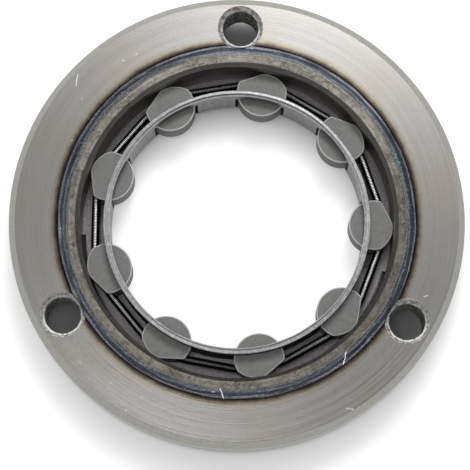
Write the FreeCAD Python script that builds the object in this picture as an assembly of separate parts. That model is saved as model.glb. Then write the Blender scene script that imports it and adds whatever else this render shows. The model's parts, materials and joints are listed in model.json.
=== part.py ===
import FreeCAD, Part
import math
import os

# One-way starter clutch with nine sprags. The bore axis is Z, the origin is on it in the
# plane of the race's rear end, and +Z points to the open side. All lengths are in mm.

# Outer race, flush with the flange in front and standing out behind it as a pilot
race_bore_diameter = 72.0
race_wall = 3.5
race_mouth_chamfer = 0.9
pilot_relief = 0.5
pilot_chamfer = 0.8
undercut_width = 0.8
undercut_depth = 0.45

# Flange ring, with its bolt holes between an inner web beside the race and an outer one
flange_thickness = 12.0
flange_edge_width = 1.5
flange_edge_depth = 1.2
flange_rear_chamfer = 1.0
bolt_count = 3
bolt_hole_diameter = 8.2
bolt_hole_chamfer = 1.0
bolt_start_angle = 90.0
inner_web = 1.4
outer_web = 2.9

# Weld between flange and race: a V groove and the bead that fills most of it
groove_inner_width = 1.0
groove_outer_width = 1.55
groove_depth = 1.7
bead_inner_sink = 0.08
bead_outer_sink = 0.35
bead_crown = 0.15

# Sprags, which fill the space between the race and the circle of the hub that runs in them
sprag_count = 9
sprag_start_angle = 0.45
sprag_space = 10.25
sprag_length = 7.2
inner_cam_radius = 5.75
nose_radius = 3.0
crown_offset = 0.4
flank_shoulder_angle = 75.0
cam_shoulder_angle = 72.0
shoulder_radius = 0.7
sprag_edge_chamfer = 0.28
sprag_rest_tilts = (-1.5, 0.7, -0.3, -1.9, -1.1, -2.5, -0.5, 3.2, 2.5)

# Cage: thin sleeve with one window per sprag and a flange at its rear end
cage_stand_off = 4.75
cage_wall = 1.35
cage_front_sink = 1.2
cage_rim_band = 3.2
cage_tail_band = 0.5
cage_rim_rounding = 0.45
cage_tail_chamfer = 1.0
cage_flange_overlap = 1.0
cage_flange_thickness = 1.0
cage_flange_chamfer = 0.2
cage_relief_depth = 0.82
cage_relief_start_angle = 183.0
cage_relief_span = 162.0
window_corner_radius = 0.5

# Garter spring, a closed coil that runs straight from sprag to sprag
spring_coil_diameter = 2.0
spring_stand_off = 2.15
spring_rise = 0.8
spring_groove_radius = 5.5

# Retaining ring behind the cage flange
ring_land = 1.4
ring_thickness = 1.2
ring_radial_width = 2.4
ring_groove_depth = 0.9
ring_gap_angle = 14.0
ring_gap_centre_angle = -70.0
ring_end_radius = 0.5

# Clearances
cage_running_clearance = 0.08
cage_end_play = 0.2
sprag_race_clearance = 0.15
sprag_window_clearance = 0.06
sprag_tail_play = 0.8
sprag_rim_play = 0.3
spring_seat_clearance = 0.1
spring_side_clearance = 0.2
ring_seat_clearance = 0.05

# Two points nearer than this are one
same_point = 0.001

# Heights that follow, from the rear end to the front face
ring_bottom_z = ring_land
ring_top_z = ring_bottom_z + ring_thickness
cage_bottom_z = ring_top_z + cage_end_play
cage_floor_z = cage_bottom_z + cage_flange_thickness
shoulder_z = cage_floor_z + cage_end_play
window_bottom_z = cage_floor_z + cage_tail_band
sprag_bottom_z = window_bottom_z + sprag_tail_play
sprag_middle_z = sprag_bottom_z + sprag_length / 2
window_top_z = sprag_bottom_z + sprag_length + sprag_rim_play
cage_top_z = window_top_z + cage_rim_band
front_z = cage_top_z + cage_front_sink
flange_back_z = front_z - flange_thickness

# Radii that follow
race_bore_radius = race_bore_diameter / 2
race_outer_radius = race_bore_radius + race_wall
pilot_radius = race_outer_radius - pilot_relief
bolt_hole_radius = bolt_hole_diameter / 2
bolt_circle_radius = race_outer_radius + inner_web + bolt_hole_radius
flange_radius = bolt_circle_radius + bolt_hole_radius + outer_web
contact_radius = race_bore_radius - sprag_space
pivot_radius = contact_radius + inner_cam_radius
cage_radius = contact_radius + cage_stand_off
cage_bore_radius = cage_radius - cage_wall
cage_flange_radius = race_bore_radius + cage_flange_overlap
counterbore_radius = cage_flange_radius + cage_running_clearance
spring_coil_radius = spring_coil_diameter / 2
spring_chord_radius = cage_radius + spring_stand_off
spring_top_radius = spring_chord_radius + spring_rise
ring_groove_radius = counterbore_radius + ring_groove_depth
ring_outer_radius = ring_groove_radius - ring_seat_clearance
ring_inner_radius = ring_outer_radius - ring_radial_width

sprag_pitch_angle = 360.0 / sprag_count


def vec(x, y, z=0.0):
    return FreeCAD.Vector(x, y, z)


def polar(radius, angle, z=0.0):
    turn = math.radians(angle)
    return vec(radius * math.cos(turn), radius * math.sin(turn), z)


def line(start, end):
    return Part.LineSegment(start, end).toShape()


def arc(start, through, end):
    return Part.Arc(start, through, end).toShape()


def revolved(profile):
    """Turn a closed (radius, z) outline, with or without arcs, about the bore axis."""
    face = Part.Face(Part.Wire(profile))
    return face.revolve(vec(0, 0), vec(0, 0, 1), 360)


def outline(points):
    corners = [vec(radius, 0, z) for radius, z in points]
    return Part.makePolygon(corners + corners[:1]).Edges


def about_axis(shape, angle):
    placed = shape.copy()
    placed.rotate(vec(0, 0), vec(0, 0, 1), angle)
    return placed


def bolt_angles():
    return [bolt_start_angle + 360.0 * step / bolt_count for step in range(bolt_count)]


def bolt_drill():
    """Drill and both countersinks of one bolt hole, as one solid of revolution."""
    wide = bolt_hole_radius + 2 * bolt_hole_chamfer
    drill = revolved(outline((
        (0, flange_back_z - bolt_hole_chamfer),
        (wide, flange_back_z - bolt_hole_chamfer),
        (bolt_hole_radius, flange_back_z + bolt_hole_chamfer),
        (bolt_hole_radius, front_z - bolt_hole_chamfer),
        (wide, front_z + bolt_hole_chamfer),
        (0, front_z + bolt_hole_chamfer),
    )))
    drill.translate(vec(bolt_circle_radius, 0))
    return drill


def drilled(shape):
    tools = [about_axis(bolt_drill(), angle) for angle in bolt_angles()]
    return shape.cut(tools)


def flange_ring():
    ring = revolved(outline((
        (race_outer_radius, flange_back_z),
        (flange_radius - flange_rear_chamfer, flange_back_z),
        (flange_radius, flange_back_z + flange_rear_chamfer),
        (flange_radius, front_z - flange_edge_depth),
        (flange_radius - flange_edge_width, front_z),
        (race_outer_radius + groove_outer_width, front_z),
        (race_outer_radius, front_z - groove_depth),
    )))
    return drilled(ring)


def outer_race():
    """Turned ring with a counterbore for the cage flange and a groove for the snap ring."""
    ring_space_top = ring_top_z + ring_seat_clearance
    ring_space_bottom = ring_bottom_z - ring_seat_clearance
    undercut_radius = pilot_radius - undercut_depth
    undercut_start_z = flange_back_z - undercut_width
    race = revolved(outline((
        (counterbore_radius, 0),
        (pilot_radius - pilot_chamfer, 0),
        (pilot_radius, pilot_chamfer),
        (pilot_radius, undercut_start_z),
        (undercut_radius, undercut_start_z),
        (undercut_radius, flange_back_z),
        (race_outer_radius, flange_back_z),
        (race_outer_radius, front_z - groove_depth),
        (race_outer_radius - groove_inner_width, front_z),
        (race_bore_radius + race_mouth_chamfer, front_z),
        (race_bore_radius, front_z - race_mouth_chamfer),
        (race_bore_radius, shoulder_z),
        (counterbore_radius, shoulder_z),
        (counterbore_radius, ring_space_top),
        (ring_groove_radius, ring_space_top),
        (ring_groove_radius, ring_space_bottom),
        (counterbore_radius, ring_space_bottom),
    )))
    return drilled(race)


def weld_seam():
    """Bead with a low crown, cut through where the bolt holes' countersinks reach it."""
    root = vec(race_outer_radius, 0, front_z - groove_depth)
    inner_reach = groove_inner_width * (1 - bead_inner_sink / groove_depth)
    inner = vec(race_outer_radius - inner_reach, 0, front_z - bead_inner_sink)
    outer_reach = groove_outer_width * (1 - bead_outer_sink / groove_depth)
    outer = vec(race_outer_radius + outer_reach, 0, front_z - bead_outer_sink)
    crown = (inner + outer) / 2 + vec(0, 0, bead_crown)
    bead = revolved([line(root, outer), arc(outer, crown, inner), line(inner, root)])
    return drilled(bead)


def sprag_angles():
    return [sprag_start_angle + sprag_pitch_angle * step for step in range(sprag_count)]


def window_half_width():
    """The inner cam just passes the window where it leaves the cage's outer face."""
    drop = pivot_radius - cage_radius
    return math.sqrt(inner_cam_radius ** 2 - drop ** 2) + sprag_window_clearance


def cage_window():
    """A block from the bore axis outwards, with its four edges along the radius rounded."""
    half = window_half_width()
    height = window_top_z - window_bottom_z
    block = Part.makeBox(cage_flange_radius, 2 * half, height, vec(0, -half, window_bottom_z))
    along_radius = [edge for edge in block.Edges if edge.BoundBox.XLength > cage_radius]
    return block.makeFillet(window_corner_radius, along_radius)


def cage_relief():
    """The arc along which the cage's rear flange is cut back from the race wall."""
    base = vec(0, 0, cage_bottom_z)
    wedge = Part.makeCylinder(
        race_outer_radius, cage_flange_thickness, base, vec(0, 0, 1), cage_relief_span)
    core = Part.makeCylinder(race_bore_radius - cage_relief_depth, cage_flange_thickness, base)
    return about_axis(wedge.cut(core), cage_relief_start_angle)


def sprag_cage():
    sleeve = revolved(outline((
        (cage_bore_radius, cage_bottom_z + cage_tail_chamfer),
        (cage_bore_radius + cage_tail_chamfer, cage_bottom_z),
        (cage_flange_radius - cage_flange_chamfer, cage_bottom_z),
        (cage_flange_radius, cage_bottom_z + cage_flange_chamfer),
        (cage_flange_radius, cage_floor_z - cage_flange_chamfer),
        (cage_flange_radius - cage_flange_chamfer, cage_floor_z),
        (cage_radius, cage_floor_z),
        (cage_radius, cage_top_z),
        (cage_bore_radius, cage_top_z),
    )))
    above_windows = [edge for edge in sleeve.Edges if edge.BoundBox.ZMin > window_top_z]
    sleeve = sleeve.makeFillet(cage_rim_rounding, above_windows)
    windows = [about_axis(cage_window(), angle) for angle in sprag_angles()]
    return sleeve.cut([cage_relief()] + windows)


def garter_spring():
    """The coil's envelope: one round tube along straight runs and bends in one plane."""
    half_turn = sprag_pitch_angle / 2
    corner_ratio = 1 / math.cos(math.radians(half_turn))
    corner_radius = spring_chord_radius * corner_ratio
    bend = (corner_radius - spring_top_radius) / (corner_ratio - 1)
    path = []
    for angle in sprag_angles():
        centre = polar(spring_top_radius - bend, angle, sprag_middle_z)
        start = centre + polar(bend, angle - half_turn)
        top = centre + polar(bend, angle)
        end = centre + polar(bend, angle + half_turn)
        next_centre = polar(spring_top_radius - bend, angle + sprag_pitch_angle, sprag_middle_z)
        next_start = next_centre + polar(bend, angle + half_turn)
        path.append(arc(start, top, end))
        path.append(line(end, next_start))
    first = path[0]
    along = first.tangentAt(first.FirstParameter)
    circle = Part.Circle(first.valueAt(first.FirstParameter), along, spring_coil_radius)
    section = Part.Face(Part.Wire(circle.toShape()))
    return Part.Wire(path).makePipe(section)


def sprag_shoulders():
    """The two points where the inner cam ends, about the pivot: at the flank and at the cam."""
    return [polar(inner_cam_radius, flank_shoulder_angle), polar(inner_cam_radius, -cam_shoulder_angle)]


def heading(centre, point):
    return math.degrees(math.atan2(point.y - centre.y, point.x - centre.x))


def nose_end_heading(corner, centre):
    """Where on the nose, seen from its centre, the flank from a shoulder runs into it."""
    spread = math.degrees(math.acos(nose_radius / centre.distanceToPoint(corner)))
    return heading(centre, corner) - spread


def sprag_profile():
    """Cross-section about the pivot: x points outwards and y along the pitch circle.

    The crown touches the race. On one side of it a small nose runs into a straight flank,
    on the other the race cam runs in one arc to its shoulder.
    """
    flank, cam = sprag_shoulders()
    crown = vec(race_bore_radius - sprag_race_clearance - pivot_radius, -crown_offset)
    nose_centre = crown - vec(nose_radius, 0)
    nose_turn = nose_end_heading(flank, nose_centre)
    nose_end = nose_centre + polar(nose_radius, nose_turn)
    across = crown - cam
    race_cam_radius = across.Length ** 2 / (2 * across.x)
    cam_centre = crown - vec(race_cam_radius, 0)
    return Part.Wire([
        arc(flank, vec(-inner_cam_radius, 0), cam),
        arc(cam, cam_centre + polar(race_cam_radius, heading(cam_centre, cam) / 2), crown),
        arc(crown, nose_centre + polar(nose_radius, nose_turn / 2), nose_end),
        line(nose_end, flank),
    ])


def spring_groove_cutter():
    """Everything outside a round seat, at the middle of the sprag's length."""
    width = spring_coil_diameter + 2 * spring_side_clearance
    seat_radius = spring_top_radius - spring_coil_radius - spring_seat_clearance
    seat_centre = vec(seat_radius - pivot_radius - spring_groove_radius, 0, -width / 2)
    slab = Part.makeBox(race_bore_radius, race_bore_diameter, width, seat_centre - vec(0, race_bore_radius))
    core = Part.makeCylinder(spring_groove_radius, width, seat_centre)
    return slab.cut(core)


def sprag():
    """One sprag about its pivot, with its middle at z = 0."""
    blank = Part.Face(sprag_profile()).extrude(vec(0, 0, sprag_length))
    blank.translate(vec(0, 0, -sprag_length / 2))
    corners = [
        edge for edge in blank.Edges for shoulder in sprag_shoulders()
        if edge.CenterOfMass.distanceToPoint(shoulder) < same_point
    ]
    blank = blank.makeFillet(shoulder_radius, corners)
    ends = [edge for edge in blank.Edges if edge.BoundBox.ZLength < sprag_edge_chamfer]
    blank = blank.makeChamfer(sprag_edge_chamfer, ends)
    return blank.cut(spring_groove_cutter())


def placed_sprag(blank, angle, tilt):
    placed = blank.copy()
    placed.rotate(vec(0, 0), vec(0, 0, 1), tilt)
    placed.translate(vec(pivot_radius, 0, sprag_middle_z))
    placed.rotate(vec(0, 0), vec(0, 0, 1), angle)
    return placed


def retaining_ring():
    """Flat snap ring, open at one place, with rounded ends."""
    start = ring_gap_angle / 2
    end = 360.0 - start
    outer = [polar(ring_outer_radius, angle, ring_bottom_z) for angle in (start, 180.0, end)]
    inner = [polar(ring_inner_radius, angle, ring_bottom_z) for angle in (end, 180.0, start)]
    profile = Part.Wire([arc(*outer), line(outer[-1], inner[0]), arc(*inner), line(inner[-1], outer[0])])
    blank = Part.Face(profile).extrude(vec(0, 0, ring_thickness))
    upright = [edge for edge in blank.Edges if edge.BoundBox.ZLength > ring_thickness / 2]
    return about_axis(blank.makeFillet(ring_end_radius, upright), ring_gap_centre_angle)


def build():
    nodes = {
        "flange_ring": flange_ring(),
        "outer_race": outer_race(),
        "weld_seam": weld_seam(),
        "retaining_ring": retaining_ring(),
        "sprag_cage": sprag_cage(),
        "garter_spring": garter_spring(),
    }
    blank = sprag()
    for step, angle in enumerate(sprag_angles()):
        tilt = sprag_rest_tilts[step % len(sprag_rest_tilts)]
        nodes[f"sprag_{step + 1}"] = placed_sprag(blank, angle, tilt)
    return nodes


os.makedirs("parts", exist_ok=True)
for name, shape in build().items():
    box = shape.BoundBox
    print(f"{name}: solids {len(shape.Solids)}, valid {shape.isValid()}, volume {shape.Volume:.2f},"
          f" z {box.ZMin:.2f} to {box.ZMax:.2f}, width {box.XLength:.2f}")
    shape.exportStep(f"parts/{name}.step")
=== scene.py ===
import json
import math

import bmesh
import bpy
from mathutils import Matrix, Vector, noise


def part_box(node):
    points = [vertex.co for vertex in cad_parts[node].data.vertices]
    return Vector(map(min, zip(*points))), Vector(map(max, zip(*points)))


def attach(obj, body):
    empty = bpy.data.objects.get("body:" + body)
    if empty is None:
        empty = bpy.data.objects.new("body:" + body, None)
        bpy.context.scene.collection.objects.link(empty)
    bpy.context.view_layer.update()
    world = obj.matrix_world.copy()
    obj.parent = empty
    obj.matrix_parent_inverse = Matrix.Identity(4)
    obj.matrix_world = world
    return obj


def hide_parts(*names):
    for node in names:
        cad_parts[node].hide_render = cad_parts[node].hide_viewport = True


# The looks of the sprag clutch. Blender works in metres. The sizes below are in millimetres,
# and so is the place on the object that the finishes read.

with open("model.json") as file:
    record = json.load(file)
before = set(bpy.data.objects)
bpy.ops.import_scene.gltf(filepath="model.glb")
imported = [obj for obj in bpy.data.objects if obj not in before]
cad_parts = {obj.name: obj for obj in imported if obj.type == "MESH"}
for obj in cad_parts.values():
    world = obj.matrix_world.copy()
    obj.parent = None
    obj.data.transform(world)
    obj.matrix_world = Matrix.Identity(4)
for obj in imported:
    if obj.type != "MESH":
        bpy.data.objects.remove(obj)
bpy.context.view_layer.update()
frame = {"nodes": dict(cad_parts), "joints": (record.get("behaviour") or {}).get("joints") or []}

mm = 0.001

# Sizes that the finishes and the added pieces follow. Heights start at the rear face, and the
# flange's edge depth at the front.
front = 17.0
bolt_holes = 3
bolt_circle_radius = 45.0
bolt_hole_radius = 4.1
countersink_radius = 5.1
flange_edge_start = 50.5
flange_edge_depth = 1.15
weld_inside = 38.5
weld_outside = 41.0
cage_inside = 29.15
cage_outside = 30.5
cage_top = 15.8
cage_flange_top = 4.0
sprags = 9
sprag_top = 12.3
spring_top = 9.65
spring_between_sprags = 32.65
spring_over_sprags = 33.45

# Scratches that the front has taken, from one (x, y) place to another
flange_scratches = (
    ((25.3, -42.4), (27.0, -42.6)), ((42.6, -16.9), (43.5, -16.6)), ((51.3, -10.2), (51.5, -9.8)),
    ((43.0, 27.2), (43.2, 26.9)), ((-27.0, 36.7), (-26.7, 36.8)), ((-24.0, 38.3), (-23.7, 38.3)),
    ((21.3, -46.1), (21.6, -46.1)), ((-37.6, 30.4), (-37.2, 33.4)),
)
weld_scratches = (
    ((-3.1, -38.5), (-2.0, -40.9)), ((-2.1, -40.9), (-1.1, -40.9)), ((-4.9, -39.3), (-4.2, -39.3)),
    ((24.5, -33.1), (25.3, -29.7)),
)


# Shader maths


class Socket:
    """What a node gives out. Arithmetic on it adds Math nodes, so 1 - mask works."""

    def __init__(self, nodes, socket):
        self.nodes = nodes
        self.socket = socket

    def twin(self, name):
        """Another output of the same node."""
        return Socket(self.nodes, self.socket.node.outputs[name])

    def __add__(self, other):
        return self.nodes.math("ADD", self, other)

    def __sub__(self, other):
        return self.nodes.math("SUBTRACT", self, other)

    def __rsub__(self, other):
        return self.nodes.math("SUBTRACT", other, self)

    def __mul__(self, other):
        return self.nodes.math("MULTIPLY", self, other)

    def __pow__(self, other):
        return self.nodes.math("POWER", self, other)

    def __abs__(self):
        return self.nodes.math("ABSOLUTE", self)

    __radd__ = __add__
    __rmul__ = __mul__


class Nodes:
    """The nodes of a material or of the world."""

    def __init__(self, owner):
        owner.use_nodes = True
        self.tree = owner.node_tree
        self.tree.nodes.clear()

    def node(self, kind, settings=None, inputs=None, output=0):
        """Add a node, set it, and join its inputs to numbers, colours or sockets."""
        made = self.tree.nodes.new(kind)
        for key, value in (settings or {}).items():
            setattr(made, key, value)
        for key, value in (inputs or {}).items():
            if isinstance(value, Socket):
                self.tree.links.new(value.socket, made.inputs[key])
            else:
                made.inputs[key].default_value = value
        return Socket(self, made.outputs[output]) if made.outputs else None

    def math(self, operation, *values):
        """The result of a Math node."""
        return self.node("ShaderNodeMath", {"operation": operation}, dict(enumerate(values)))


class Finish(Nodes):
    """A material under construction, with the place on the object split into its parts."""

    def __init__(self, name):
        self.material = bpy.data.materials.new(name)
        super().__init__(self.material)
        metres = self.node("ShaderNodeTexCoord", output="Object")
        self.place = self.node(
            "ShaderNodeVectorMath", {"operation": "SCALE"}, {"Vector": metres, "Scale": 1 / mm}
        )
        self.x = self.node("ShaderNodeSeparateXYZ", inputs={"Vector": self.place}, output="X")
        self.y = self.x.twin("Y")
        self.z = self.x.twin("Z")
        self.radius = (self.x * self.x + self.y * self.y) ** 0.5
        self.angle = self.math("ARCTAN2", self.y, self.x)

    def along_turning(self, around):
        """A place that turns with the lathe: tight across the marks and long along them."""
        up_the_wall = 1.7
        return self.node(
            "ShaderNodeCombineXYZ",
            inputs={
                "X": self.math("COSINE", self.angle) * around,
                "Y": self.math("SINE", self.angle) * around,
                "Z": self.radius + self.z * up_the_wall,
            },
        )

    def noise(self, scale, detail=3.0, roughness=0.55, place=None):
        """Smooth noise from 0 to 1 about 0.5, with scale in features per mm."""
        inputs = {
            "Vector": place or self.place, "Scale": scale, "Detail": detail, "Roughness": roughness,
        }
        return self.node("ShaderNodeTexNoise", {}, inputs, "Fac")

    def specks(self, scale, size):
        """1 in small spots that lie about one to each cell, 0 elsewhere."""
        inputs = {"Vector": self.place, "Scale": scale}
        near = self.node("ShaderNodeTexVoronoi", {"feature": "F1"}, inputs, "Distance")
        return self.step(near, size, size * 0.6)

    def scratch(self, start, end, width):
        """1 on a thin line drawn on the front between two (x, y) places, 0 off it."""
        long = math.dist(start, end)
        way_x, way_y = (end[0] - start[0]) / long, (end[1] - start[1]) / long
        off_x, off_y = self.x - start[0], self.y - start[1]
        along = off_x * way_x + off_y * way_y
        sway = (self.noise(0.7, 2.0) - 0.5) * 0.5
        across = off_y * way_x - off_x * way_y + sway
        thin = self.step(abs(across), width, width * 0.4)
        return thin * self.band(along, 0.0, long, width)

    def bolt_hole(self):
        """How far a place is from the nearest bolt hole's axis, and how far below it as seen
        from the front."""
        half_share = math.pi / bolt_holes
        turn = self.math("WRAP", self.angle - math.pi / 2, half_share, -half_share)
        outward = self.radius * self.math("COSINE", turn) - bolt_circle_radius
        sideways = self.radius * self.math("SINE", turn)
        axis_height = self.math("SINE", self.angle - turn) * bolt_circle_radius
        return (outward * outward + sideways * sideways) ** 0.5, axis_height - self.y

    def step(self, value, start, end):
        """A smooth rise from 0 at start to 1 at end, or a fall where end is the lower one."""
        low, high = min(start, end), max(start, end)
        at_low, at_high = (0.0, 1.0) if end > start else (1.0, 0.0)
        inputs = {
            "Value": value, "From Min": low, "From Max": high, "To Min": at_low, "To Max": at_high,
        }
        return self.node("ShaderNodeMapRange", {"interpolation_type": "SMOOTHSTEP"}, inputs)

    def band(self, value, start, end, soft):
        """1 between start and end, with soft edges."""
        past_start = self.step(value, start - soft, start + soft)
        return past_start * self.step(value, end + soft, end - soft)

    def mix(self, factor, first, second):
        """The first colour where factor is 0 and the second where it is 1."""
        # The Mix node names its number, vector and colour sockets alike, so these are places
        first_colour, second_colour, result = 6, 7, 2
        inputs = {"Factor": factor, first_colour: first, second_colour: second}
        return self.node("ShaderNodeMix", {"data_type": "RGBA"}, inputs, result)

    def tone(self, colour, factor):
        """A colour made lighter or darker by a factor."""
        if not isinstance(colour, Socket):
            colour = colour[:3]
        return self.node(
            "ShaderNodeVectorMath", {"operation": "SCALE"}, {"Vector": colour, "Scale": factor}
        )

    def bump(self, height, depth, under=None):
        """A normal from a height. Depth is the way, in mm, between heights 0 and 1."""
        inputs = {"Height": height, "Distance": depth * mm, "Strength": 1.0}
        if under:
            inputs["Normal"] = under
        return self.node("ShaderNodeBump", {}, inputs, "Normal")

    def surface(self, colour, roughness, metallic, normal=None):
        """Close the material with one shader."""
        inputs = {"Base Color": colour, "Roughness": roughness, "Metallic": metallic}
        if normal:
            inputs["Normal"] = normal
        shader = self.node("ShaderNodeBsdfPrincipled", {}, inputs)
        self.node("ShaderNodeOutputMaterial", {}, {"Surface": shader})
        return self.material


def tint(red, green, blue):
    """A colour as a picture shows it, 0 to 255, for a shader socket."""
    def linear(level):
        level /= 255
        return level / 12.92 if level <= 0.04045 else ((level + 0.055) / 1.055) ** 2.4

    return (linear(red), linear(green), linear(blue), 1.0)


# Finishes. Scales are in features per mm, and numbers set against noise are levels of it.


def turned_flange():
    """Turned steel, straw and brown where the weld has heated it, scuffed countersinks with a
    painted highlight.
    """
    made = Finish("turned flange steel")
    gray, warm_gray = tint(115, 114, 112), tint(118, 109, 100)
    straw, brown, burnt = tint(112, 106, 90), tint(56, 49, 43), tint(38, 33, 34)
    scratched, bright_fleck = tint(206, 202, 196), tint(216, 206, 200)
    cut_gray, cut_white, lip_highlight_white = tint(122, 122, 124), tint(204, 203, 200), tint(252, 251, 247)
    bore_gray, bore_fleck = tint(80, 79, 81), tint(200, 198, 194)
    edge_gray, side_gray = tint(170, 169, 164), tint(146, 144, 139)

    marks = made.noise(2.2, 3.0, 0.7, made.along_turning(0.5))
    rings = made.noise(0.7, 2.0, 0.6, made.along_turning(0.6))
    scuffs = made.noise(1.2, 4.0, 0.7)
    # The lathe's marks are plain on the lower part of the front and faint above it
    plain = made.step(made.y + (scuffs - 0.5) * 30, -18.0, -38.0) * 0.85 + 0.15
    marked = (marks - 0.5) * plain
    steel = made.tone(gray, 0.81 + marked * 0.7 + rings * 0.2 + scuffs * 0.18)
    warmer = made.step(made.noise(0.07, 2.0), 0.42, 0.66)
    steel = made.mix(warmer * 0.35, steel, made.tone(warm_gray, 1 + marked * 0.8))

    # Heat colours, in mm from the weld
    wobble = (made.noise(0.12, 2.0) - 0.5) * 0.8 + (made.noise(0.8, 3.0, 0.7) - 0.5) * 0.7
    from_weld = made.radius - weld_outside + wobble
    steel = made.mix(made.step(from_weld, 2.3, 0.7) * 0.75, steel, straw)
    steel = made.mix(made.step(from_weld, 1.45, 0.2), steel, brown)
    steel = made.mix(made.step(from_weld, 0.5, 0.1), steel, burnt)

    for start, end in flange_scratches:
        steel = made.mix(made.scratch(start, end, 0.12) * 0.8, steel, scratched)
    flecked = made.specks(0.7, 0.1) * made.step(made.noise(0.13), 0.61, 0.68)
    steel = made.mix(flecked * 0.8, steel, bright_fleck)

    # Countersinks, with a painted highlight on a lip round each bore that is brightest on its lower
    # side
    from_hole, below = made.bolt_hole()
    sunk = made.step(from_hole, countersink_radius + 0.12, countersink_radius - 0.1)
    bore = made.step(from_hole, bolt_hole_radius + 0.12, bolt_hole_radius + 0.02)
    lower = made.step(below, -3.0, 3.5)
    painted_highlight = made.band(from_hole, bolt_hole_radius + 0.03, bolt_hole_radius + 0.46, 0.08)
    lip_highlight = (0.2 + lower * 0.8) * painted_highlight
    rough = made.noise(1.3, 4.0, 0.75)
    cut = made.mix(made.step(rough, 0.38, 0.6), cut_gray, cut_white)
    cut = made.mix(lip_highlight * made.step(rough, 0.36, 0.5), cut, lip_highlight_white)
    # Painted light: each countersink is also made lighter on its lower side
    steel = made.mix(sunk, steel, made.tone(cut, 0.78 + lower * 0.5))
    bore_flecks = made.step(rough, 0.42, 0.64) * bore
    steel = made.mix(bore, steel, made.mix(bore_flecks, bore_gray, bore_fleck))

    # The rounded outer edge and the side under it
    edge = made.step(made.radius, flange_edge_start - 0.05, flange_edge_start + 0.1)
    side = made.step(made.z, front - flange_edge_depth, front - flange_edge_depth - 0.15) * edge
    worn = 0.8 + scuffs * 0.4
    steel = made.mix(edge, steel, made.tone(edge_gray, worn))
    steel = made.mix(side, steel, made.tone(side_gray, worn))

    normal = made.bump(rough * sunk, 0.16, made.bump(marks * plain, 0.035))
    metallic = 1 - lip_highlight * 0.4 - sunk * 0.3 - bore_flecks * 0.3
    return made.surface(steel, 0.23 + marks * 0.1 + sunk * 0.2, metallic, normal)


def ground_race():
    """Hardened ring: tan front land, gray bore and a mouth with a dark bloom."""
    made = Finish("hardened race steel")
    tan, stained, browned = tint(108, 106, 100), tint(82, 79, 73), tint(108, 100, 91)
    bore_gray, bloom, pitted = tint(166, 163, 158), tint(68, 67, 64), tint(46, 40, 36)

    marks = made.noise(2.2, 4.0, 0.7, made.along_turning(1.5))
    stain = made.step(made.noise(0.5, 4.0, 0.65), 0.38, 0.7)
    patches = made.step(made.noise(0.11, 2.0), 0.45, 0.65)
    land = made.mix(patches * 0.45, made.mix(stain, tan, stained), browned)
    streaks = made.noise(1.6, 3.0, 0.7, made.along_turning(1.2))
    land = made.tone(land, streaks * 1.1 + made.noise(1.1, 4.0, 0.85) * 1.9 - 0.56)
    # The land is darker towards the right
    darker_right = made.step(made.x - made.y * 0.4, 26.0, 37.0)
    land = made.tone(land, 1 - darker_right * 0.32)

    on_land = made.step(made.z, front - 0.12, front - 0.02)
    mouth = made.step(made.z, front - 1.05, front - 0.8) * (1 - on_land)
    steel = made.mix(on_land, made.tone(bore_gray, 0.6 + marks * 0.6), land)
    steel = made.mix(mouth * 0.85, steel, bloom)
    pits = made.step(made.noise(1.8, 4.0, 0.8), 0.52, 0.6) * made.step(made.noise(0.2), 0.46, 0.58)
    steel = made.mix(pits * 0.8, steel, pitted)
    return made.surface(steel, 0.3 + on_land * 0.07 + marks * 0.1, 1.0, made.bump(marks, 0.03))


def weld_bead_metal():
    """Weld metal with blue-gray oxide in strands, with painted glints where ripples and spatter
    catch light.
    """
    made = Finish("weld metal")
    oxide_gray, oxide_blue, seam = tint(74, 75, 79), tint(64, 71, 80), tint(40, 43, 50)
    thread, tan_foot, dark_strand = tint(104, 109, 116), tint(106, 103, 97), tint(46, 48, 55)
    gray_strand, burnt = tint(96, 94, 99), tint(46, 39, 40)
    glint, spatter_glint, scratched = tint(152, 170, 182), tint(200, 205, 212), tint(228, 226, 222)

    ripples = made.noise(1.6, 4.0, 0.75)
    strands = made.noise(1.3, 3.0, 0.6, made.along_turning(3.0))
    patches = made.noise(0.16, 3.0)

    # Strands, in mm across the weld from its inner edge
    across = made.radius - weld_inside
    swaying = across + (strands - 0.5) * 1.5
    wandering = across + (made.noise(0.09, 1.0) - 0.5) * 2.0 + (strands - 0.5) * 0.5
    oxide = made.mix(made.step(patches, 0.4, 0.62), oxide_gray, oxide_blue)
    seams = made.step(made.noise(1.5, 1.0, 0.5, made.along_turning(0.35)), 0.5, 0.4)
    oxide = made.mix(seams * 0.7, oxide, seam)
    oxide = made.mix(made.band(wandering, 0.7, 0.95, 0.14) * 0.55, oxide, thread)
    metal = made.mix(made.step(swaying, 0.05, 0.6), tan_foot, oxide)
    metal = made.mix(made.band(swaying, 1.35, 1.7, 0.12), metal, dark_strand)
    metal = made.mix(made.band(swaying, 1.9, 2.25, 0.1), metal, gray_strand)
    metal = made.mix(made.step(swaying, 2.3, 2.55), metal, burnt)

    # Painted sheen: the strands are made brighter towards the top right
    top_right_sheen = made.step(made.y + made.x * 0.35, 30.0, 40.0)
    uneven = ripples * 1.7 + strands * 1.7 - 0.7
    metal = made.tone(metal, uneven + top_right_sheen * (strands * 1.6 - 0.1))
    # Painted glints where the ripples catch light
    glints = made.step(ripples * strands, 0.33, 0.42) * made.step(patches, 0.42, 0.6)
    metal = made.mix(glints * 0.6, metal, glint)
    # Spatter drops, painted bright as glints
    drops = made.specks(1.7, 0.17) * made.step(made.noise(0.35), 0.56, 0.62)
    metal = made.mix(drops * 0.65, metal, spatter_glint)
    for start, end in weld_scratches:
        metal = made.mix(made.scratch(start, end, 0.13) * 0.9, metal, scratched)
    return made.surface(metal, 0.22 + ripples * 0.2, 1.0, made.bump(ripples, 0.2))


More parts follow.
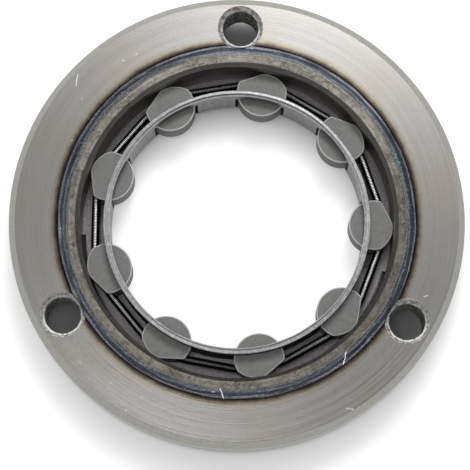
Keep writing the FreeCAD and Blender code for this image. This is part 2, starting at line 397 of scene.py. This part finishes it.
def turned_cage():
    """Turned cage steel: drawn gray inside the sleeve, painted shade outside it, mottled on the
    flange.
    """
    made = Finish("turned cage steel")
    drawn_gray, shade_black, flange_gray = tint(118, 117, 117), tint(24, 21, 28), tint(104, 101, 102)
    short_around_long_up = (1.6, 1.6, 0.35)

    marks = made.noise(3.0, 4.0, 0.7, made.along_turning(1.5))
    mottle = made.noise(1.3, 4.0, 0.75)
    drawn = made.node(
        "ShaderNodeVectorMath", {"operation": "MULTIPLY"}, {0: made.place, 1: short_around_long_up}
    )
    streaks = made.noise(1.0, 4.0, 0.75, drawn)
    steel = made.tone(drawn_gray, marks * 0.5 + streaks * 1.9 - 0.22)
    over_flange = made.step(made.z, cage_flange_top, cage_flange_top + 0.3)
    # Painted shade: near-black outside the sleeve, above the flange, where the light does not reach
    outside = made.step(made.radius, cage_outside - 0.5, cage_outside - 0.3) * over_flange
    steel = made.mix(outside, steel, shade_black)
    flange = made.step(made.radius, cage_outside - 0.3, cage_outside) * (1 - over_flange)
    steel = made.mix(flange, steel, made.tone(flange_gray, 0.2 + mottle * 1.6))
    roughness = 0.34 + marks * 0.12 + outside * 0.2
    return made.surface(steel, roughness, 1.0, made.bump(marks, 0.02))


def highlighted_rim():
    """The cage's rim: painted highlights on its two round edges, with a painted dark line of shade
    between them.
    """
    made = Finish("rim steel with painted highlights")
    inner_highlight, outer_highlight = tint(200, 199, 201), tint(212, 211, 212)
    crown_gray, shade_line_dark, low_gray = tint(146, 145, 146), tint(46, 43, 49), tint(96, 94, 98)

    marks = made.noise(2.4, 4.0, 0.75, made.along_turning(2.0))
    flecks = made.step(made.noise(1.1, 4.0, 0.75), 0.5, 0.64)
    from_middle = made.radius - (cage_inside + cage_outside) / 2
    # Painted highlights on the inner and outer round edges
    steel = made.mix(made.step(from_middle, -0.15, 0.1), inner_highlight, crown_gray)
    steel = made.mix(made.step(from_middle, 0.2, 0.5), steel, outer_highlight)
    # The painted dark line fades on the two sides of the clutch
    beside = made.math("COSINE", made.angle)
    line = made.step(abs(from_middle + 0.25), 0.28, 0.12) * (1 - beside ** 4 * 0.5)
    steel = made.mix(line * 0.95, steel, shade_line_dark)
    low = made.step(made.z, cage_top - 0.4, cage_top - 0.62)
    steel = made.mix(low, steel, low_gray)
    steel = made.tone(steel, 0.2 + marks * 1.3 + flecks * 0.45)
    return made.surface(steel, 0.3, 0.35 + low * 0.65)


def tumbled_sprag():
    """Sintered and tumbled steel: a fine dull grain on the ends, and a painted highlight on the
    edges.
    """
    made = Finish("tumbled sprag steel")
    dark_gray, light_gray = tint(90, 90, 89), tint(100, 99, 98)
    nicked, highlight_white = tint(84, 80, 76), tint(222, 222, 220)

    grain = made.noise(4.5, 3.0, 0.7)
    steel = made.mix(made.noise(0.35, 2.0), dark_gray, light_gray)
    steel = made.tone(steel, grain + made.noise(0.9, 4.0, 0.75))
    nicks = made.specks(1.1, 0.17) * made.step(made.noise(0.5), 0.55, 0.62)
    steel = made.mix(nicks * 0.6, steel, nicked)
    # Painted highlight on the edge chamfers
    painted_highlight = made.band(made.z, sprag_top - 0.3, sprag_top - 0.01, 0.015)
    steel = made.mix(painted_highlight, steel, highlight_white)
    return made.surface(steel, 0.52 + grain * 0.14, 1 - painted_highlight * 0.85, made.bump(grain, 0.02))


def dark_wire():
    """Blackened spring wire with a painted highlight along the coil's crest, strongest on the two
    sides.
    """
    made = Finish("dark spring wire")
    black, dark_gray, highlight_white = tint(28, 25, 31), tint(46, 42, 48), tint(240, 240, 244)

    streaks = made.noise(0.8, 3.0)
    # Painted highlight along the crest, strongest where the coil runs up the two sides
    crest = made.step(made.z, spring_top - 0.13, spring_top + 0.01)
    beside = made.math("COSINE", made.angle)
    painted_highlight = crest * (0.15 + beside * beside * 0.85)
    steel = made.mix(painted_highlight, made.mix(streaks, black, dark_gray), highlight_white)
    return made.surface(steel, 0.3 + streaks * 0.12, 1.0)


def white_floor():
    """Matte white ground: it glows in the open for the camera and in reflections, and it keeps the
    shadows. Under the flange it is painted gray as shade, so that the bolt holes look deep."""
    made = Finish("white floor")
    white, gray, glow_white = tint(225, 225, 225), tint(152, 152, 152), (1.0, 1.0, 1.0)

    seen = made.node("ShaderNodeLightPath", output="Is Camera Ray")
    shown = made.math("MAXIMUM", seen, seen.twin("Is Glossy Ray"))
    # Painted shadow: the key lamp stands behind the clutch and shades the back of the bore, so the
    # glow is painted fading there, and the middle of the lit ground lies 6 mm in front of the axis
    lit_y = made.y + 6.0
    from_lit = (made.x * made.x + lit_y * lit_y) ** 0.5
    inside = made.step(from_lit, 39.1, 25.6) * made.step(made.radius, 33.0, 30.5)
    # Painted shadow: outside, the glow is weaker near the flange, most at the front, and none under
    # it
    outside = (0.6 + made.step(from_lit, 46.5, 57.0) * 0.4) * made.step(made.radius, 50.0, 52.6)
    glow = shown * (inside + outside) * 0.6
    # Painted shade: a gray ring on the ground under the flange
    under = made.band(made.radius, 39.0, 51.0, 2.0)
    paper = made.node("ShaderNodeBsdfDiffuse", {}, {"Color": made.mix(under, white, gray)})
    light = made.node("ShaderNodeEmission", {}, {"Color": made.tone(glow_white, glow)})
    both = made.node("ShaderNodeAddShader", {}, {0: paper, 1: light})
    made.node("ShaderNodeOutputMaterial", {}, {"Surface": both})
    return made.material


# Pieces


def finished(mesh, name, material):
    """Turn a bmesh into an object of the scene."""
    data = bpy.data.meshes.new(name)
    mesh.to_mesh(data)
    mesh.free()
    for face in data.polygons:
        face.use_smooth = True
    data.materials.append(material)
    made = bpy.data.objects.new(name, data)
    bpy.context.scene.collection.objects.link(made)
    return made


def doubled(mesh, doublings, move):
    """Make a mesh twice as long again and again. Move puts the new half in place, and is given
    how many of the first pieces it has to pass and its vertices."""
    for doubling in range(doublings):
        whole = mesh.verts[:] + mesh.edges[:] + mesh.faces[:]
        more = bmesh.ops.duplicate(mesh, geom=whole)["geom"]
        move(2 ** doubling, [part for part in more if isinstance(part, bmesh.types.BMVert)])


def garter_path(run_radius, top_radius, first_angle, height):
    """Place and direction on the spring's line at a given length along it, and its full length.

    The line goes straight from sprag to sprag, no nearer to the bore axis than run_radius, and
    bends over each sprag in an arc that reaches top_radius.
    """
    half_turn = math.pi / sprags
    ratio = 1 / math.cos(half_turn)
    bend = (run_radius * ratio - top_radius) / (ratio - 1)
    arc_length = 2 * bend * half_turn
    run = 2 * (top_radius - bend) * math.sin(half_turn)
    piece = arc_length + run

    def along(distance):
        sprag = int(distance // piece) % sprags
        rest = distance % piece
        middle = first_angle + 2 * half_turn * sprag
        centre = Vector((math.cos(middle), math.sin(middle), 0)) * (top_radius - bend)
        turn = middle - half_turn + min(rest, arc_length) / bend
        outward = Vector((math.cos(turn), math.sin(turn), 0))
        forward = Vector((-math.sin(turn), math.cos(turn), 0))
        place = centre + outward * bend + forward * max(0.0, rest - arc_length)
        place.z = height
        return place, outward

    return along, piece * sprags


def garter_coil(material):
    """The real coil: a closely wound wire whose ends are hooked into one another."""
    low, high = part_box("garter_spring")
    height = (low.z + high.z) / 2
    coil_radius = (high.z - low.z) / 2
    wire_radius = 0.17 * mm
    pitch = 0.36 * mm
    wire_sides, steps_per_turn, doublings = 6, 14, 6
    first = next(joint for joint in frame["joints"] if joint["name"] == "sprag_1_tilt")
    start = math.atan2(first["pos_m"][1], first["pos_m"][0])
    along, length = garter_path(spring_between_sprags * mm, spring_over_sprags * mm, start, height)
    # Whole turns fill the line when the first ones have been doubled
    first_turns = round(length / pitch / 2 ** doublings)
    pitch = length / (first_turns * 2 ** doublings)
    winding = bmesh.new()
    bmesh.ops.create_circle(winding, cap_ends=False, segments=wire_sides, radius=wire_radius)
    upright = Matrix.Rotation(math.pi / 2, 4, "X")
    bmesh.ops.transform(winding, matrix=upright, verts=winding.verts)
    bmesh.ops.translate(winding, vec=(coil_radius - wire_radius, 0, 0), verts=winding.verts)
    bmesh.ops.spin(
        winding, geom=winding.verts[:] + winding.edges[:], cent=(0, 0, 0), axis=(0, 0, 1),
        dvec=(0, 0, pitch / steps_per_turn), angle=2 * math.pi * first_turns,
        steps=steps_per_turn * first_turns,
    )
    doubled(winding, doublings, lambda times, verts: bmesh.ops.translate(
        winding, vec=(0, 0, first_turns * pitch * times), verts=verts
    ))
    # The straight coil is bent onto the spring's line
    for vertex in winding.verts:
        place, outward = along(vertex.co.z % length)
        vertex.co = place + outward * vertex.co.x + Vector((0, 0, 1)) * vertex.co.y
    bmesh.ops.remove_doubles(winding, verts=winding.verts, dist=0.004 * mm)
    bmesh.ops.recalc_face_normals(winding, faces=winding.faces)
    coil = finished(winding, "garter_coil", material)
    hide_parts("garter_spring")
    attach(coil, "cage")


def turned_ring(profile, doublings, first_steps):
    """Turn a closed (radius, height) outline in mm about the bore axis into a ring's mesh.

    A short piece is spun and then doubled until it closes.
    """
    ring = bmesh.new()
    corners = [ring.verts.new((radius * mm, 0, height * mm)) for radius, height in profile]
    for corner, following in zip(corners, corners[1:] + corners[:1]):
        ring.edges.new((corner, following))
    piece = 2 * math.pi / 2 ** doublings
    bmesh.ops.spin(
        ring, geom=ring.verts[:] + ring.edges[:], cent=(0, 0, 0), axis=(0, 0, 1),
        angle=piece, steps=first_steps,
    )
    doubled(ring, doublings, lambda times, verts: bmesh.ops.rotate(
        ring, cent=(0, 0, 0), matrix=Matrix.Rotation(piece * times, 3, "Z"), verts=verts
    ))
    bmesh.ops.remove_doubles(ring, verts=ring.verts, dist=0.002 * mm)
    bmesh.ops.recalc_face_normals(ring, faces=ring.faces)
    return ring


def ripple(vertex):
    """Raise and sink the bead in strands and ripples, and cut it down in the countersinks."""
    crown_depth = 1.2
    strand_height, ripple_height, side_sway = 0.13, 0.08, 0.08
    radius = math.hypot(vertex.co.x, vertex.co.y) / mm
    height = vertex.co.z / mm
    if height < front - crown_depth:
        return
    heading = Vector((vertex.co.x, vertex.co.y, 0)).normalized()
    height += noise.noise(heading * 14 + Vector((0, 0, radius * 1.6))) * strand_height
    height += noise.noise(heading * 150 + Vector((0, 0, radius * 1.2))) * ripple_height
    radius += noise.noise(heading * 9 + Vector((7, 0, 0))) * side_sway
    for number in range(bolt_holes):
        turn = math.radians(90 + 360 / bolt_holes * number)
        hole = Vector((math.cos(turn), math.sin(turn), 0)) * bolt_circle_radius
        from_hole = (heading * radius - hole).length
        height = min(height, front - countersink_radius + from_hole - 0.03)
    vertex.co = heading * (radius * mm) + Vector((0, 0, height * mm))


def weld_bead(material):
    """The weld as it really is: strands side by side, sunk where they meet the flange."""
    crown = (
        (38.48, 16.98), (38.6, 17.0), (38.75, 17.0), (38.9, 16.96), (39.05, 16.97), (39.25, 16.99),
        (39.45, 16.96), (39.65, 16.95), (39.85, 16.88), (40.0, 16.84), (40.15, 16.86),
        (40.3, 16.9), (40.5, 16.91), (40.7, 16.88), (40.85, 16.8), (41.0, 16.72),
    )
    root = ((39.5, 15.4),)
    ring = turned_ring(crown + root, doublings=6, first_steps=32)
    for vertex in ring.verts:
        ripple(vertex)
    bead = finished(ring, "weld_bead", material)
    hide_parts("weld_seam")
    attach(bead, "housing")


def cage_rim(material):
    """A rim with round edges round the top of the cage, a hair wider than the cage itself."""
    skin = 0.015
    rounding = 0.45
    depth = 0.7
    outline = []
    centre_height = cage_top + skin - rounding
    for centre, side in ((cage_outside + skin - rounding, 1), (cage_inside - skin + rounding, -1)):
        turns = [math.radians(angle) for angle in range(0, 91, 15)]
        arc = [
            (centre + side * rounding * math.cos(turn), centre_height + rounding * math.sin(turn))
            for turn in turns
        ]
        outline.extend(arc if side > 0 else arc[::-1])
    outline.append((cage_inside - skin, cage_top - depth))
    outline.append((cage_outside + skin, cage_top - depth))
    rim = finished(turned_ring(outline, doublings=5, first_steps=9), "cage_rim", material)
    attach(rim, "cage")


def ground(material):
    """A floor that reaches past every edge of the picture."""
    half_width = 6.0
    sheet = bmesh.new()
    bmesh.ops.create_grid(sheet, x_segments=1, y_segments=1, size=half_width)
    floor = finished(sheet, "floor", material)


# Light and camera


def soft_lamp(name, place, size, power):
    """A round soft lamp that points at the middle of the clutch."""
    data = bpy.data.lights.new(name, "AREA")
    data.shape = "DISK"
    data.size = size
    data.energy = power
    lamp = bpy.data.objects.new(name, data)
    lamp.location = place
    lamp.rotation_euler = (-Vector(place)).to_track_quat("-Z", "Y").to_euler()
    bpy.context.scene.collection.objects.link(lamp)


def white_world(fill):
    """White to the camera and in reflections, and a soft fill for the rest."""
    world = bpy.data.worlds.new("studio")
    bpy.context.scene.world = world
    made = Nodes(world)
    seen = made.node("ShaderNodeLightPath", output="Is Camera Ray")
    reflected = made.math("MAXIMUM", seen, seen.twin("Is Glossy Ray"))
    shown = made.math("MAXIMUM", reflected, seen.twin("Is Transmission Ray"))
    white = made.node("ShaderNodeBackground", {}, {"Strength": 1.0})
    soft = made.node("ShaderNodeBackground", {}, {"Strength": fill})
    both = made.node("ShaderNodeMixShader", {}, {"Fac": shown, 1: soft, 2: white})
    made.node("ShaderNodeOutputWorld", {}, {"Surface": both})


def photo_camera():
    """Almost straight above, leaning 9.3 degrees, and turned 1.1 degrees about the bore axis."""
    lean = math.radians(9.319)
    turn = Matrix.Rotation(math.radians(1.1), 3, "Z")
    sensor_width = 36.0
    focal_pixels, picture_pixels = 2200, 470
    data = bpy.data.cameras.new("camera")
    data.sensor_width = sensor_width
    data.lens = sensor_width * focal_pixels / picture_pixels
    camera = bpy.data.objects.new("camera", data)
    back = turn @ Vector((0, -math.sin(lean), math.cos(lean)))
    up = turn @ Vector((0, math.cos(lean), math.sin(lean)))
    facing = Matrix((up.cross(back), up, back)).transposed().to_4x4()
    place = turn @ Vector((-0.4117, -84.435, 510.33)) * mm
    camera.matrix_world = Matrix.Translation(place) @ facing
    bpy.context.scene.collection.objects.link(camera)
    bpy.context.scene.camera = camera


# Dressing


def dress(node, material):
    """Give a CAD node its finish."""
    owner = frame["nodes"][node]
    owner.data.materials.clear()
    owner.data.materials.append(material)


spring_wire = dark_wire()
sprag_steel = tumbled_sprag()
dress("flange_ring", turned_flange())
dress("outer_race", ground_race())
dress("sprag_cage", turned_cage())
dress("retaining_ring", spring_wire)
for number in range(1, sprags + 1):
    dress(f"sprag_{number}", sprag_steel)
garter_coil(spring_wire)
weld_bead(weld_bead_metal())
cage_rim(highlighted_rim())
ground(white_floor())

white_world(fill=0.5)
soft_lamp("key", place=(0.055, 0.33, 0.62), size=0.26, power=1.92)
soft_lamp("low", place=(-0.06, -0.06, 0.66), size=0.12, power=0.33)
photo_camera()
bpy.context.scene.view_settings.view_transform = "Standard"
